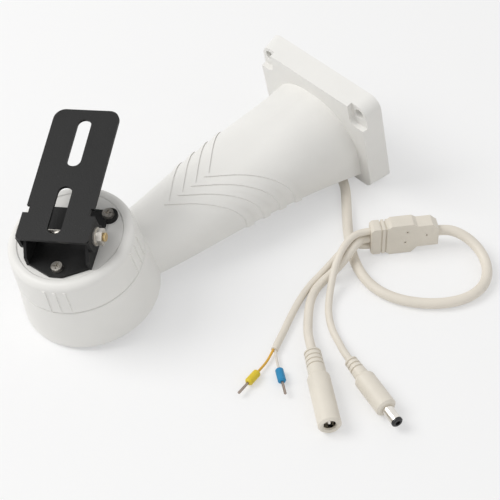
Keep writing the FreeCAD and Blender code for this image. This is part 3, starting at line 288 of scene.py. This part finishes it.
def bolt_plate(base, brass, axis, turn_over):
    """Nickel on the bolt, passivated brass tone on its threaded end."""
    coat = Coat("bolt_plate", Metallic=1.0)
    along = coat.node("ShaderNodeVectorMath", {"operation": "DOT_PRODUCT"},
                      {0: coat.place, 1: tuple(axis)}, "Value")
    end = (along - turn_over).between(-0.00015, 0.00015)
    thread = coat.node("ShaderNodeMath", {"operation": "SINE"}, {0: along * THREAD_WAVE})
    cloud = coat.noise(300, 4.0)
    tarnish = tuple(c * 0.68 for c in brass)
    shade = coat.blend(end, coat.tint(base, 0.7, cloud.between(0.4, 0.75) * 0.6),
                       coat.blend(cloud.between(0.4, 0.7), tuple(brass), tarnish))
    height = thread * end * 0.5 + cloud * 0.2
    return coat.finish(shade, cloud.between(0.3, 0.7, 0.26, 0.42), height, 0.00015, 0.6)


def moulded(name, base, rough=0.45, relief=1800):
    """Moulded plastic with a fine spark-eroded grain."""
    coat = Coat(name, Specular_IOR_Level=0.45)
    cloud = coat.noise(90, 3.0)
    grain = coat.noise(relief, 2.0)
    shade = coat.tint(base, 0.86, cloud.between(0.35, 0.75) * 0.8)
    return coat.finish(shade, cloud.between(0.3, 0.7, rough - 0.05, rough + 0.07), grain, 0.00006, 0.3)


def circuit_board():
    """Green board with faint tracks."""
    coat = Coat("circuit_board", Specular_IOR_Level=0.5)
    track = coat.node("ShaderNodeTexWave", {"wave_profile": "SIN"},
                      {"Vector": coat.place, "Scale": 260.0, "Distortion": 3.0, "Detail": 1.0}, "Fac")
    lines = track.between(0.62, 0.7)
    shade = coat.blend(lines, (0.01, 0.11, 0.045), (0.03, 0.2, 0.08))
    return coat.finish(shade, lines.between(0, 1, 0.34, 0.42), lines, 0.00004, 0.4)


def paint(material, *names):
    for name in names:
        item = NODES[name]
        item.data.materials.clear()
        item.data.materials.append(material)


def finishes():
    return bpy.context.scene.bracket_finishes


def sizes():
    return bpy.context.scene.bracket_sizes


def add(name, data):
    item = bpy.data.objects.new(name, data)
    bpy.context.collection.objects.link(item)
    return item


# ---- pieces ----
class BRACKET_OT_casting(bpy.types.Operator):
    """Coat the cast housing and the turning cap."""

    bl_idname = "bracket.casting"
    bl_label = "Coat the casting"

    def execute(self, context):
        look = finishes()
        paint(satin_casting(look.casting), "bracket_housing", "rotating_cap")
        paint(moulded("cover_plastic", look.casting, 0.5), "bottom_cover")
        return {"FINISHED"}


class BRACKET_OT_pressings(bpy.types.Operator):
    """Coat the two pressed steel brackets."""

    bl_idname = "bracket.pressings"
    bl_label = "Coat the pressings"

    def execute(self, context):
        paint(black_powder_coat(finishes().black), "u_bracket", "tilt_plate")
        return {"FINISHED"}


def ring_mesh(name, radius, depth):
    """One thread ridge about Z, as a thin closed ring."""
    mesh = bpy.data.meshes.new(name)
    shape = bmesh.new()
    rows = []
    for step in range(RIDGE_SIDES):
        turn = 2 * math.pi * step / RIDGE_SIDES
        row = []
        for reach, rise in ((-0.00012, -depth), (0.00009, 0.0), (-0.00012, depth)):
            size = radius + reach
            row.append(shape.verts.new((size * math.cos(turn), size * math.sin(turn), rise)))
        rows.append(row)
    for step in range(RIDGE_SIDES):
        here, there = rows[step], rows[(step + 1) % RIDGE_SIDES]
        for side in range(3):
            shape.faces.new((here[side], there[side], there[(side + 1) % 3], here[(side + 1) % 3]))
    bmesh.ops.recalc_face_normals(shape, faces=shape.faces)
    shape.to_mesh(mesh)
    shape.free()
    return mesh


def thread_tree(material):
    """Instances one ridge along a line: count, pitch and the ridge are its named inputs."""
    tree = bpy.data.node_groups.new("bolt_thread", "GeometryNodeTree")
    face = tree.interface
    face.new_socket("Geometry", in_out="INPUT", socket_type="NodeSocketGeometry")
    face.new_socket("Ridges", in_out="INPUT", socket_type="NodeSocketInt").default_value = 4
    face.new_socket("Pitch", in_out="INPUT", socket_type="NodeSocketFloat").default_value = 0.0005
    face.new_socket("Geometry", in_out="OUTPUT", socket_type="NodeSocketGeometry")
    nodes, links = tree.nodes, tree.links
    start = nodes.new("NodeGroupInput")
    end = nodes.new("NodeGroupOutput")
    line = nodes.new("GeometryNodeMeshLine")
    offset = nodes.new("ShaderNodeCombineXYZ")
    copies = nodes.new("GeometryNodeInstanceOnPoints")
    real = nodes.new("GeometryNodeRealizeInstances")
    coat = nodes.new("GeometryNodeSetMaterial")
    coat.inputs["Material"].default_value = material
    links.new(start.outputs["Ridges"], line.inputs["Count"])
    links.new(start.outputs["Pitch"], offset.inputs["Z"])
    links.new(offset.outputs[0], line.inputs["Offset"])
    links.new(line.outputs[0], copies.inputs["Points"])
    links.new(start.outputs["Geometry"], copies.inputs["Instance"])
    links.new(copies.outputs[0], real.inputs[0])
    links.new(real.outputs[0], coat.inputs["Geometry"])
    links.new(coat.outputs[0], end.inputs[0])
    return tree


class BRACKET_OT_fasteners(bpy.types.Operator):
    """Plate the screws, the bolt and its stack, and cut the bolt's thread."""

    bl_idname = "bracket.fasteners"
    bl_label = "Plate the fasteners"

    def execute(self, context):
        look = finishes()
        nickel = plated("nickel_plate", look.nickel, 0.26, 0.40)
        paint(nickel, "u_bracket_screws", "bottom_cover_screws", "pan_motor_screws", "board_screws",
              "ring_gear_screws", "pan_retaining_screw")
        paint(plated("zinc_plate", tuple(c * 0.95 for c in look.nickel), 0.3, 0.46), "tilt_washer",
              "tilt_spring_washer", "tilt_nut")
        hinge = [joint for joint in frame["joints"] if joint["name"] == "tilt"][0]
        axis = Vector(hinge["axis"]).normalized()
        middle = Vector(hinge["pos_m"])
        paint(bolt_plate(look.nickel, look.brass, axis, middle.dot(axis) + BRASS_FROM), "tilt_bolt")
        ridges = add("bolt_thread", ring_mesh("bolt_thread", THREAD_RADIUS, RIDGE_DEPTH))
        modifier = ridges.modifiers.new("thread", "NODES")
        modifier.node_group = thread_tree(plated("brass_thread", look.brass, 0.3, 0.42))
        keys = {s.name: s.identifier for s in modifier.node_group.interface.items_tree if s.in_out == "INPUT"}
        modifier[keys["Ridges"]] = RIDGES_SHOWN
        modifier[keys["Pitch"]] = sizes().thread_pitch
        context.view_layer.update()
        made = ridges.evaluated_get(context.evaluated_depsgraph_get())
        mesh = bpy.data.meshes.new_from_object(made)
        ridges.modifiers.remove(modifier)
        ridges.data = mesh
        seat = middle + axis * THREAD_FROM
        mesh.transform(Matrix.Translation(seat) @ axis.to_track_quat("Z", "Y").to_matrix().to_4x4())
        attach(ridges, "tilt")
        return {"FINISHED"}


def cable(name, route, diameter, material, node):
    """A limp cable as one smooth spline along its route."""
    curve = bpy.data.curves.new(name, "CURVE")
    curve.dimensions = "3D"
    spline = curve.splines.new("NURBS")
    spline.points.add(len(route) - 1)
    for point, place in zip(spline.points, route):
        point.co = (*place, 1)
    spline.order_u = 3
    spline.use_endpoint_u = True
    spline.resolution_u = 10
    curve.bevel_depth = diameter / 2
    curve.bevel_resolution = 7
    curve.use_fill_caps = True
    curve.materials.append(material)
    item = add(name, curve)
    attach(item, "housing")
    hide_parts(node)
    return item


class BRACKET_OT_cables(bpy.types.Operator):
    """Lay the main cable and its three leads."""

    bl_idname = "bracket.cables"
    bl_label = "Lay the cables"

    def execute(self, context):
        look, size = finishes(), sizes()
        jacket = cable_jacket(look.jacket, "cable_jacket")
        rows = (
            ("main_cord", MAIN_ROUTE, 0.207, size.main_diameter, "main_cable", "fitting", []),
            ("data_cord", DATA_ROUTE, 0.0885, size.data_diameter, "lead_data", "bare",
             ["wire_yellow", "wire_white", "ferrule_sleeve_yellow", "ferrule_sleeve_blue", "ferrule_pins"]),
            ("jack_cord", JACK_ROUTE, 0.087, size.jack_diameter, "lead_jack", "connector",
             ["jack_body", "jack_contact_sleeve", "jack_pin"]),
            ("plug_cord", PLUG_ROUTE, 0.09, size.plug_diameter, "lead_plug", "plug",
             ["plug_body", "plug_barrel", "plug_tip_insulator"]),
        )
        for name, route, run, diameter, node, end, pieces in rows:
            item = cable(name, route, diameter, jacket, node)
            carried = [NODES[piece] for piece in pieces]
            if node == "main_cable":
                carried.append(bpy.data.objects["splitter_shell"])
        return {"FINISHED"}


class BRACKET_OT_connectors(bpy.types.Operator):
    """Mould the splitter, the jack, the plug and the crimped ends."""

    bl_idname = "bracket.connectors"
    bl_label = "Mould the connectors"

    def execute(self, context):
        look = finishes()
        cream = cable_jacket(look.moulding, "moulded_pvc", 3400)
        source = NODES["splitter_block"]
        mesh = source.data.copy()
        mesh.name = "splitter_shell"
        shape = bmesh.new()
        shape.from_mesh(mesh)
        bmesh.ops.remove_doubles(shape, verts=shape.verts, dist=1e-6)
        bmesh.ops.dissolve_limit(shape, angle_limit=math.radians(2), verts=shape.verts, edges=shape.edges)
        shape.to_mesh(mesh)
        shape.free()
        shell = add("splitter_shell", mesh)
        mesh.materials.clear()
        mesh.materials.append(cream)
        bevel = shell.modifiers.new("edges", "BEVEL")
        bevel.width = sizes().block_edge
        bevel.segments = 3
        bevel.limit_method = "ANGLE"
        bevel.angle_limit = math.radians(25)
        bevel.harden_normals = True
        for face in mesh.polygons:
            face.use_smooth = True
        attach(shell, "housing")
        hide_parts("splitter_block")
        paint(cream, "jack_body", "plug_body")
        bright = plated("bright_nickel", (0.78, 0.75, 0.70), 0.12, 0.22)
        paint(bright, "plug_barrel", "jack_pin", "jack_contact_sleeve")
        paint(plated("tinned_pin", (0.36, 0.30, 0.26), 0.28, 0.42), "ferrule_pins")
        paint(moulded("black_insulator", (0.015, 0.015, 0.016), 0.35), "plug_tip_insulator")
        paint(moulded("yellow_sleeve", look.yellow, 0.4), "ferrule_sleeve_yellow")
        paint(moulded("blue_sleeve", look.blue, 0.4), "ferrule_sleeve_blue")
        paint(moulded("orange_insulation", look.orange, 0.4), "wire_yellow")
        paint(moulded("white_insulation", (0.72, 0.68, 0.62), 0.4), "wire_white")
        return {"FINISHED"}


class BRACKET_OT_insides(bpy.types.Operator):
    """Finish the drive, the board and what else sits inside."""

    bl_idname = "bracket.insides"
    bl_label = "Finish the insides"

    def execute(self, context):
        paint(plated("motor_can_plate", (0.55, 0.55, 0.54), 0.3, 0.45), "pan_motor")
        paint(plated("turned_steel", (0.58, 0.57, 0.55), 0.2, 0.35), "motor_shaft")
        paint(circuit_board(), "control_board")
        paint(moulded("relay_plastic", (0.012, 0.03, 0.09), 0.42), "board_parts")
        paint(moulded("switch_plastic", (0.02, 0.02, 0.021), 0.5), "limit_switches")
        paint(moulded("gear_acetal", (0.72, 0.70, 0.64), 0.42), "ring_gear", "drive_pinion")
        paint(plated("bronze", (0.56, 0.36, 0.17), 0.34, 0.5), "pan_bushing")
        paint(moulded("seal_rubber", (0.02, 0.02, 0.02), 0.7, 900), "seam_seal")
        return {"FINISHED"}


# ---- stage ----
def lamp(name, place, target, size, power, tone):
    data = bpy.data.lights.new(name, "AREA")
    data.shape = "SQUARE"
    data.size = size
    data.energy = power
    data.color = tone
    item = add(name, data)
    item.location = place
    item.rotation_euler = (Vector(target) - Vector(place)).to_track_quat("-Z", "Y").to_euler()
    return item


def shown_to_camera(tree):
    """1 where a ray comes straight from the camera or through gloss or glass."""
    path = tree.nodes.new("ShaderNodeLightPath")
    first = tree.nodes.new("ShaderNodeMath")
    second = tree.nodes.new("ShaderNodeMath")
    first.operation = second.operation = "MAXIMUM"
    tree.links.new(path.outputs["Is Camera Ray"], first.inputs[0])
    tree.links.new(path.outputs["Is Glossy Ray"], first.inputs[1])
    tree.links.new(first.outputs[0], second.inputs[0])
    tree.links.new(path.outputs["Is Transmission Ray"], second.inputs[1])
    return second.outputs[0]


class BRACKET_OT_stage(bpy.types.Operator):
    """Set the pale floor, the soft lamps, the room light and the camera."""

    bl_idname = "bracket.stage"
    bl_label = "Set the stage"

    def execute(self, context):
        light = context.scene.bracket_light
        mesh = bpy.data.meshes.new("floor")
        reach = FLOOR_REACH
        corners = [(-reach, -reach, 0), (reach, -reach, 0), (reach, reach, 0), (-reach, reach, 0)]
        mesh.from_pydata(corners, [], [(0, 1, 2, 3)])
        floor = add("floor", mesh)
        floor.location.z = -FLOOR_DROP
        paper = bpy.data.materials.new("pale_floor")
        paper.use_nodes = True
        tree = paper.node_tree
        shader = tree.nodes["Principled BSDF"]
        shader.inputs["Base Color"].default_value = (0.9, 0.9, 0.9, 1)
        shader.inputs["Roughness"].default_value = 0.9
        shader.inputs["Specular IOR Level"].default_value = 0.1
        glow = tree.nodes.new("ShaderNodeEmission")
        mix = tree.nodes.new("ShaderNodeMixShader")
        scale = tree.nodes.new("ShaderNodeMath")
        scale.operation = "MULTIPLY"
        scale.inputs[1].default_value = FLOOR_GLOW
        tree.links.new(shown_to_camera(tree), scale.inputs[0])
        tree.links.new(scale.outputs[0], mix.inputs[0])
        tree.links.new(shader.outputs[0], mix.inputs[1])
        tree.links.new(glow.outputs[0], mix.inputs[2])
        tree.links.new(mix.outputs[0], tree.nodes["Material Output"].inputs["Surface"])
        mesh.materials.append(paper)
        lamp("key_lamp", (-0.75, 0.75, 1.25), LAMP_TARGET, 0.9, light.key_power, (1.0, 0.995, 0.985))
        lamp("fill_lamp", (0.2, -1.3, 1.0), LAMP_TARGET, 1.2, light.fill_power, (0.985, 0.99, 1.0))
        world = bpy.data.worlds.new("room")
        context.scene.world = world
        world.use_nodes = True
        tree = world.node_tree
        even = tree.nodes["Background"]
        even.inputs["Color"].default_value = (1, 1, 1, 1)
        even.inputs["Strength"].default_value = light.room
        white = tree.nodes.new("ShaderNodeBackground")
        white.inputs["Color"].default_value = (1, 1, 1, 1)
        mix = tree.nodes.new("ShaderNodeMixShader")
        tree.links.new(shown_to_camera(tree), mix.inputs[0])
        tree.links.new(even.outputs[0], mix.inputs[1])
        tree.links.new(white.outputs[0], mix.inputs[2])
        tree.links.new(mix.outputs[0], tree.nodes["World Output"].inputs["Surface"])
        data = bpy.data.cameras.new("camera")
        data.lens = CAMERA_LENS
        data.sensor_width = 36.0
        data.clip_start = 0.01
        eye = add("camera", data)
        right = Vector(CAMERA_RIGHT)
        down = Vector(CAMERA_DOWN)
        ahead = Vector(CAMERA_AHEAD)
        turn = Matrix((right, -down, -ahead)).transposed()
        eye.matrix_world = Matrix.Translation(CAMERA_PLACE) @ turn.to_4x4()
        context.scene.camera = eye
        context.scene.view_settings.view_transform = "Standard"
        return {"FINISHED"}


class BRACKET_PT_panel(bpy.types.Panel):
    """The bracket's pieces, one button each"""

    bl_idname = "BRACKET_PT_panel"
    bl_label = "Bracket"
    bl_space_type = "VIEW_3D"
    bl_region_type = "UI"
    bl_category = "Bracket"

    def draw(self, context):
        for operator in OPERATORS:
            self.layout.operator(operator.bl_idname)
        scene = context.scene
        for group in (scene.bracket_finishes, scene.bracket_sizes, scene.bracket_light):
            for key in group.__annotations__:
                self.layout.prop(group, key)


OPERATORS = (BRACKET_OT_casting, BRACKET_OT_pressings, BRACKET_OT_fasteners, BRACKET_OT_connectors,
             BRACKET_OT_cables, BRACKET_OT_insides, BRACKET_OT_stage)
CLASSES = (BracketFinishes, BracketSizes, BracketLight) + OPERATORS + (BRACKET_PT_panel,)


def register():
    for item in CLASSES:
        bpy.utils.register_class(item)
    bpy.types.Scene.bracket_finishes = PointerProperty(type=BracketFinishes)
    bpy.types.Scene.bracket_sizes = PointerProperty(type=BracketSizes)
    bpy.types.Scene.bracket_light = PointerProperty(type=BracketLight)


def unregister():
    del bpy.types.Scene.bracket_finishes
    del bpy.types.Scene.bracket_sizes
    del bpy.types.Scene.bracket_light
    for item in reversed(CLASSES):
        bpy.utils.unregister_class(item)


def main():
    register()
    bpy.ops.bracket.casting()
    bpy.ops.bracket.pressings()
    bpy.ops.bracket.fasteners()
    bpy.ops.bracket.connectors()
    bpy.ops.bracket.cables()
    bpy.ops.bracket.insides()
    bpy.ops.bracket.stage()


if __name__ == "__main__":
    main()
